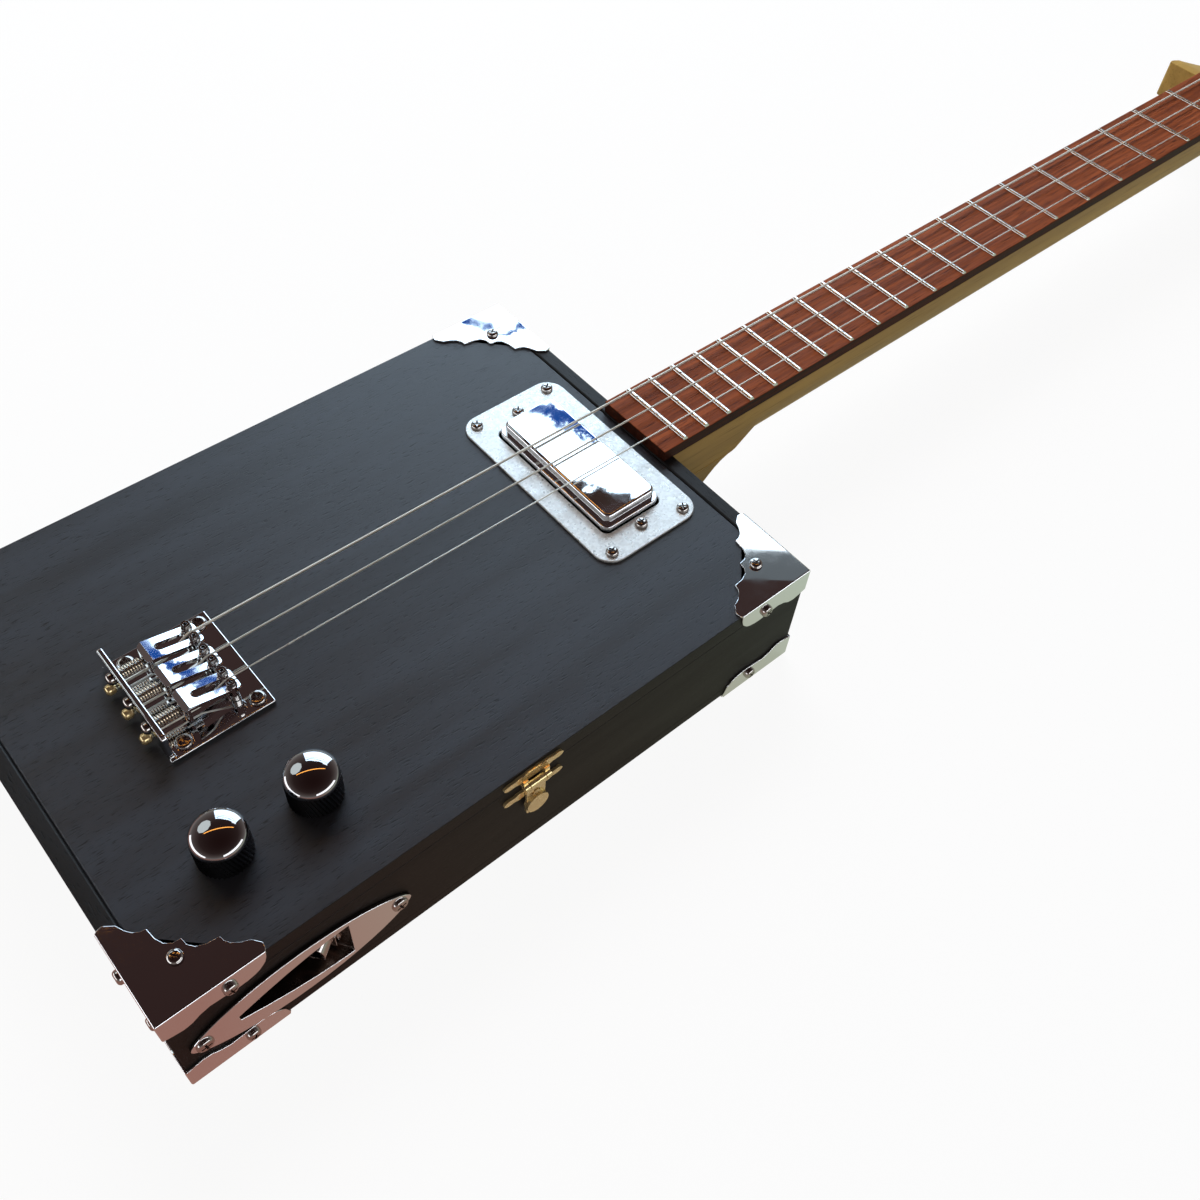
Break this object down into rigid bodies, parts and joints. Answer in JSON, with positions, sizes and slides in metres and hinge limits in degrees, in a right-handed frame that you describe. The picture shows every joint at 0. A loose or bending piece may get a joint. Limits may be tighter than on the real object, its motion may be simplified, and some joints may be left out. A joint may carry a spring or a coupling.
{
  "type": "cigar box guitar",
  "caption": "Electric guitar with a shallow wooden box body, bolt-free through neck, fretted board, sprung saddles on a flanged bridge, one pickup, two knobs and a side jack.",
  "frame": {"origin": "on the back panel's outer face, on the neck's centre line, under the saddles' crests", "axes": "+X along the neck towards the headstock, +Y towards the heaviest string, +Z out of the lid"},
  "size_m": [0.8629, 0.1966, 0.0716],
  "materials": {
    "black_wood": "black satin finish over open grain",
    "maple": "clear satin finish",
    "dark_rosewood": "oiled, streaked grain",
    "bone": "off-white, smooth",
    "chrome": "polished",
    "dark_chrome": "polished black chrome, knurled sides",
    "galvanised_steel": "satin, spangled",
    "brass": "worn brass plating",
    "steel": "plain",
    "string_steel": "nickel-wound steel"
  },
  "bodies": {
    "guitar": {"back_panel": "black_wood", "wall_front": "black_wood", "wall_far": "black_wood", "wall_tail": "black_wood", "wall_neck": "black_wood", "lid_panel": "black_wood", "lid_batten_tail": "black_wood", "lid_batten_neck": "black_wood", "protector_top_tail_front": "chrome", "protector_top_tail_far": "chrome", "protector_top_neck_front": "chrome", "protector_top_neck_far": "chrome", "protector_bottom_tail_front": "chrome", "protector_bottom_tail_far": "chrome", "protector_bottom_neck_front": "chrome", "protector_bottom_neck_far": "chrome", "neck": "maple", "headstock_ear_far": "maple", "headstock_ear_near": "maple", "heel_block": "maple", "fretboard": "dark_rosewood", "nut": "bone", "tuner_1_case": "chrome", "tuner_2_case": "chrome", "tuner_3_case": "chrome", "bridge_base": "chrome", "saddle_1_spring": "steel", "saddle_2_spring": "steel", "saddle_3_spring": "steel", "string_1": "string_steel", "string_2": "string_steel", "string_3": "string_steel", "pickup_plate": "galvanised_steel", "pot_volume": "steel", "pot_tone": "steel", "jack_plate": "chrome", "output_jack": "chrome", "clasp_upper_plate": "brass", "clasp_lower_plate": "brass"},
    "volume_knob": {"knob_volume": "dark_chrome"},
    "tone_knob": {"knob_tone": "dark_chrome"},
    "tuner_1_key": {"tuner_1_button": "chrome"},
    "tuner_1_barrel": {"tuner_1_post": "chrome", "tuner_1_winding": "string_steel"},
    "tuner_2_key": {"tuner_2_button": "chrome"},
    "tuner_2_barrel": {"tuner_2_post": "chrome", "tuner_2_winding": "string_steel"},
    "tuner_3_key": {"tuner_3_button": "chrome"},
    "tuner_3_barrel": {"tuner_3_post": "chrome", "tuner_3_winding": "string_steel"},
    "saddle_1_carriage": {"saddle_1": "chrome"},
    "saddle_1_adjuster": {"saddle_1_screw": "chrome"},
    "saddle_2_carriage": {"saddle_2": "chrome"},
    "saddle_2_adjuster": {"saddle_2_screw": "chrome"},
    "saddle_3_carriage": {"saddle_3": "chrome"},
    "saddle_3_adjuster": {"saddle_3_screw": "chrome"},
    "pickup_carriage": {"pickup": "chrome"},
    "pickup_adjuster_far": {"pickup_screw_far": "chrome"},
    "pickup_adjuster_near": {"pickup_screw_near": "chrome"},
    "clasp_flap": {"clasp_hasp": "brass"}
  },
  "joints": [
    {"name": "volume_turn", "type": "hinge", "parent": "guitar", "child": "volume_knob", "pos_m": [0.0003, -0.059, 0.052], "axis": [0, 0, 1], "range_deg": [-150, 150]},
    {"name": "tone_turn", "type": "hinge", "parent": "guitar", "child": "tone_knob", "pos_m": [-0.0323, -0.059, 0.052], "axis": [0, 0, 1], "range_deg": [-150, 150]},
    {"name": "tuner_1_key_turn", "type": "hinge", "parent": "guitar", "child": "tuner_1_key", "pos_m": [0.676, 0.0295, 0.0266], "axis": [0, 1, 0], "continuous": true},
    {"name": "tuner_1_post_turn", "type": "hinge", "parent": "guitar", "child": "tuner_1_barrel", "pos_m": [0.676, 0.0155, 0.0445], "axis": [0, 0, 1], "continuous": true},
    {"name": "tuner_2_key_turn", "type": "hinge", "parent": "guitar", "child": "tuner_2_key", "pos_m": [0.748, 0.0295, 0.0266], "axis": [0, 1, 0], "continuous": true},
    {"name": "tuner_2_post_turn", "type": "hinge", "parent": "guitar", "child": "tuner_2_barrel", "pos_m": [0.748, 0.0155, 0.0445], "axis": [0, 0, 1], "continuous": true},
    {"name": "tuner_3_key_turn", "type": "hinge", "parent": "guitar", "child": "tuner_3_key", "pos_m": [0.712, -0.0295, 0.0266], "axis": [0, -1, 0], "continuous": true},
    {"name": "tuner_3_post_turn", "type": "hinge", "parent": "guitar", "child": "tuner_3_barrel", "pos_m": [0.712, -0.0155, 0.0445], "axis": [0, 0, 1], "continuous": true},
    {"name": "saddle_1_screw_turn", "type": "hinge", "parent": "guitar", "child": "saddle_1_adjuster", "pos_m": [-0.03, 0.0142, 0.0608], "axis": [1, 0, 0], "range_deg": [-2880, 0]},
    {"name": "saddle_1_slide", "type": "slide", "parent": "guitar", "child": "saddle_1_carriage", "axis": [1, 0, 0], "range_m": [0, 0.004], "deforming": ["saddle_1_spring"]},
    {"name": "saddle_2_screw_turn", "type": "hinge", "parent": "guitar", "child": "saddle_2_adjuster", "pos_m": [-0.03, 0.0022, 0.0608], "axis": [1, 0, 0], "range_deg": [-2880, 0]},
    {"name": "saddle_2_slide", "type": "slide", "parent": "guitar", "child": "saddle_2_carriage", "axis": [1, 0, 0], "range_m": [0, 0.004], "deforming": ["saddle_2_spring"]},
    {"name": "saddle_3_screw_turn", "type": "hinge", "parent": "guitar", "child": "saddle_3_adjuster", "pos_m": [-0.03, -0.0098, 0.0608], "axis": [1, 0, 0], "range_deg": [-2880, 0]},
    {"name": "saddle_3_slide", "type": "slide", "parent": "guitar", "child": "saddle_3_carriage", "axis": [1, 0, 0], "range_m": [0, 0.004], "deforming": ["saddle_3_spring"]},
    {"name": "pickup_screw_far_turn", "type": "hinge", "parent": "guitar", "child": "pickup_adjuster_far", "pos_m": [0.1586, 0.038, 0.0535], "axis": [0, 0, 1], "range_deg": [-360, 1800]},
    {"name": "pickup_screw_near_turn", "type": "hinge", "parent": "guitar", "child": "pickup_adjuster_near", "pos_m": [0.1586, -0.038, 0.0535], "axis": [0, 0, 1], "range_deg": [-360, 1800]},
    {"name": "pickup_height", "type": "slide", "parent": "guitar", "child": "pickup_carriage", "axis": [0, 0, 1], "range_m": [-0.0025, 0.0005]},
    {"name": "clasp_swing", "type": "hinge", "parent": "guitar", "child": "clasp_flap", "pos_m": [0.0615, -0.0957, 0.044], "axis": [-1, 0, 0], "range_deg": [0, 150]}
  ],
  "couplings": [
    {"joint": "tuner_1_post_turn", "follows": "tuner_1_key_turn", "ratio": -0.071429},
    {"joint": "tuner_2_post_turn", "follows": "tuner_2_key_turn", "ratio": -0.071429},
    {"joint": "tuner_3_post_turn", "follows": "tuner_3_key_turn", "ratio": 0.071429},
    {"joint": "saddle_1_screw_turn", "follows": "saddle_1_slide", "rad_per_m": -12566},
    {"joint": "saddle_2_screw_turn", "follows": "saddle_2_slide", "rad_per_m": -12566},
    {"joint": "saddle_3_screw_turn", "follows": "saddle_3_slide", "rad_per_m": -12566},
    {"joint": "pickup_screw_far_turn", "follows": "pickup_height", "rad_per_m": -12566},
    {"joint": "pickup_screw_near_turn", "follows": "pickup_height", "rad_per_m": -12566}
  ]
}
